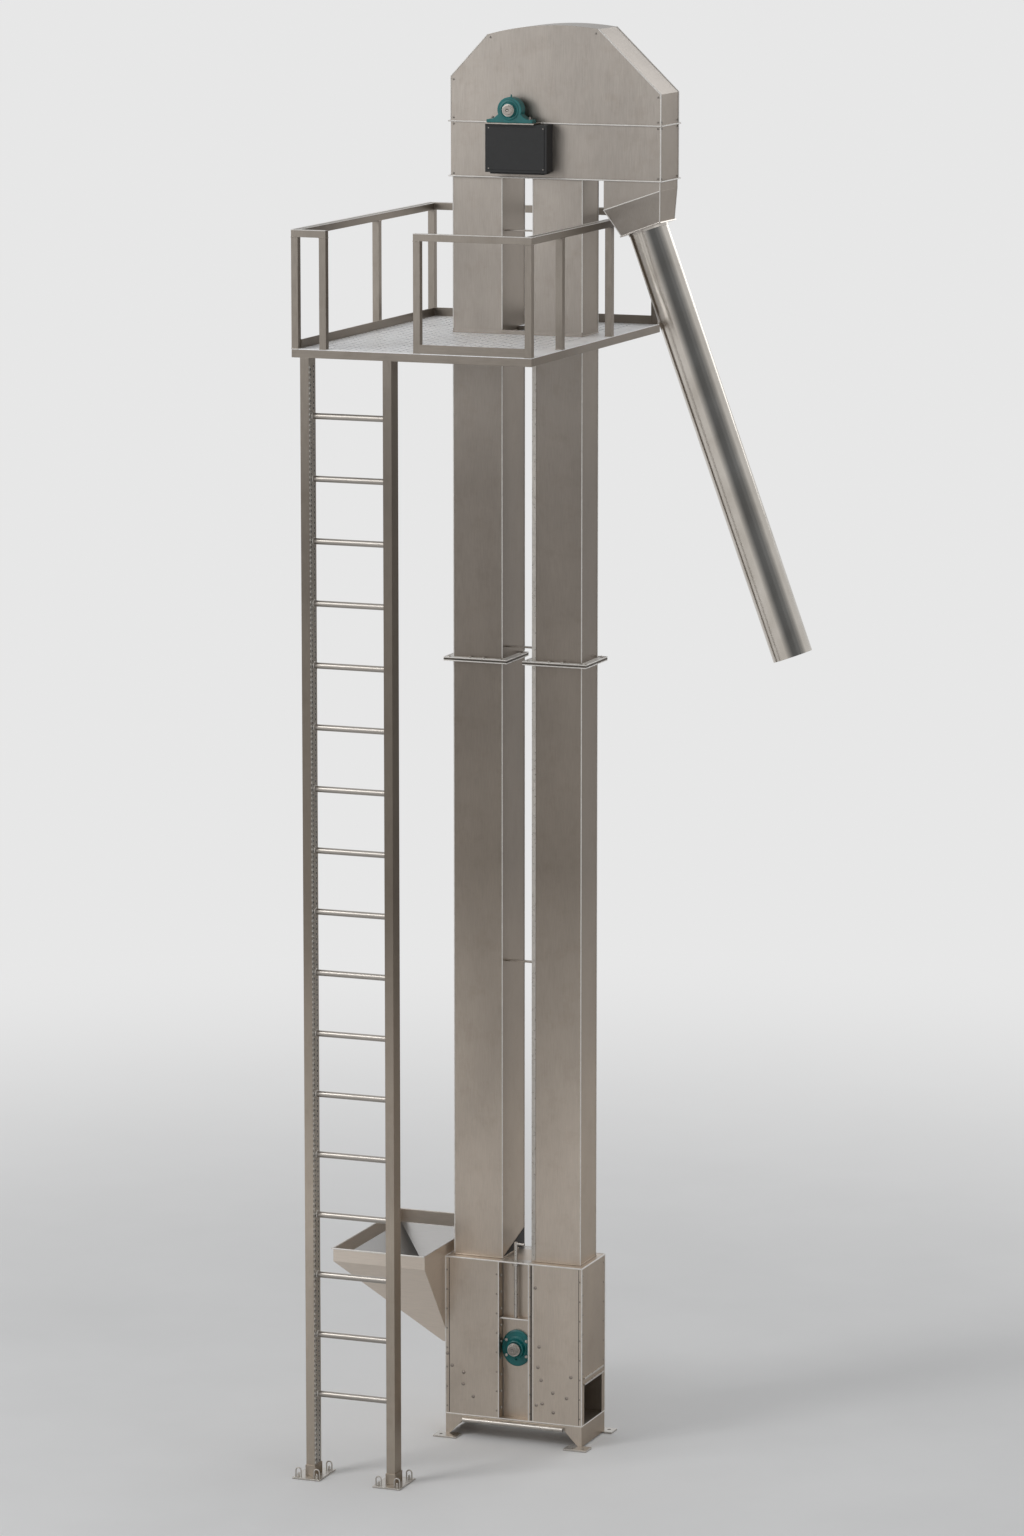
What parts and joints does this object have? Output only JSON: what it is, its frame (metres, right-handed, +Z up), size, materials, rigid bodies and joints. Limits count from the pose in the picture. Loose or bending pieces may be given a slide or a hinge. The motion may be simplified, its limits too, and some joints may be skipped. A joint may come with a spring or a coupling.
{
  "type": "bucket elevator",
  "caption": "Twin-leg bucket elevator with boot, inlet hopper, screw take-up, head, discharge pipe, railed platform and ladder.",
  "frame": {"origin": "on the floor at the centre of the boot's four anchor holes", "axes": "+Z up, -Y towards the take-up and ladder side, +X towards the discharge pipe"},
  "size_m": [2.337, 1.813, 7.0294],
  "materials": {
    "satin_steel": "satin brushed stainless",
    "teal_casting": "teal enamel on casting",
    "black_box": "matt moulded",
    "fastener": "plain",
    "polished_steel": "polished stainless",
    "shaft_steel": "turned",
    "deck_plate": "embossed",
    "belt_rubber": "matt",
    "bucket_plastic": "moulded",
    "drum_steel": "turned",
    "drive_paint": "enamel"
  },
  "bodies": {
    "root": {"bearing_shelves": "satin_steel", "belt": "belt_rubber", "boot_cleanout_wall": "satin_steel", "boot_feet": "satin_steel", "boot_floor": "satin_steel", "boot_front_panels": "satin_steel", "boot_inlet_wall": "satin_steel", "boot_rear_panels": "satin_steel", "boot_recess_channels": "satin_steel", "boot_top_plate": "satin_steel", "buckets": "bucket_plastic", "chute_collar": "polished_steel", "chute_transition": "satin_steel", "cleanout_rails": "satin_steel", "control_box": "black_box", "control_box_lid": "black_box", "discharge_pipe": "polished_steel", "discharge_spout": "satin_steel", "drive_motor": "drive_paint", "front_tie_tube": "polished_steel", "gearbox": "drive_paint", "head_bearings": "teal_casting", "head_bolts": "fastener", "head_casing": "satin_steel", "head_floor": "satin_steel", "head_hood": "satin_steel", "inlet_hopper": "satin_steel", "ladder_anchor_bolts": "fastener", "ladder_feet": "satin_steel", "ladder_rail_left": "satin_steel", "ladder_rail_right": "satin_steel", "ladder_rungs": "polished_steel", "leg_brackets": "satin_steel", "leg_flange_bolts": "fastener", "leg_left_lower": "satin_steel", "leg_left_upper": "satin_steel", "leg_right_lower": "satin_steel", "leg_right_upper": "satin_steel", "leg_seam_strip": "satin_steel", "lid_screws": "fastener", "platform_deck": "deck_plate", "platform_frame": "satin_steel", "plinth": "satin_steel", "railing_left": "satin_steel", "railing_right": "satin_steel", "takeup_brackets": "satin_steel", "takeup_rails": "satin_steel", "toe_boards": "satin_steel", "torque_arm": "satin_steel"},
    "head_drive": {"head_shaft": "shaft_steel", "head_pulley": "drum_steel", "head_collar": "shaft_steel"},
    "takeup": {"takeup_plates": "satin_steel", "boot_bearings": "teal_casting", "boot_bearing_bolts": "fastener"},
    "boot_drum": {"boot_shaft": "shaft_steel", "boot_pulley": "drum_steel", "boot_collars": "shaft_steel"},
    "screw_front": {"takeup_screw_front": "shaft_steel"},
    "screw_rear": {"takeup_screw_rear": "shaft_steel"}
  },
  "joints": [
    {"name": "head_pulley_spin", "type": "hinge", "parent": "root", "child": "head_drive", "pos_m": [0, 0, 6.625], "axis": [0, 1, 0], "continuous": true},
    {"name": "takeup_slide", "type": "slide", "parent": "root", "child": "takeup", "axis": [0, 0, 1], "range_m": [0, 0.1]},
    {"name": "boot_pulley_spin", "type": "hinge", "parent": "takeup", "child": "boot_drum", "pos_m": [0, 0, 0.47], "axis": [0, 1, 0], "continuous": true},
    {"name": "takeup_screw_front_turn", "type": "hinge", "parent": "takeup", "child": "screw_front", "pos_m": [0, -0.1294, 0.9], "axis": [0, 0, 1], "range_deg": [0, 7200]},
    {"name": "takeup_screw_rear_turn", "type": "hinge", "parent": "takeup", "child": "screw_rear", "pos_m": [0, 0.1294, 0.9], "axis": [0, 0, 1], "range_deg": [0, 7200]}
  ],
  "couplings": [
    {"joint": "boot_pulley_spin", "follows": "head_pulley_spin", "ratio": 1},
    {"joint": "takeup_screw_front_turn", "follows": "takeup_slide", "rad_per_m": 1256.6},
    {"joint": "takeup_screw_rear_turn", "follows": "takeup_slide", "rad_per_m": 1256.6}
  ]
}
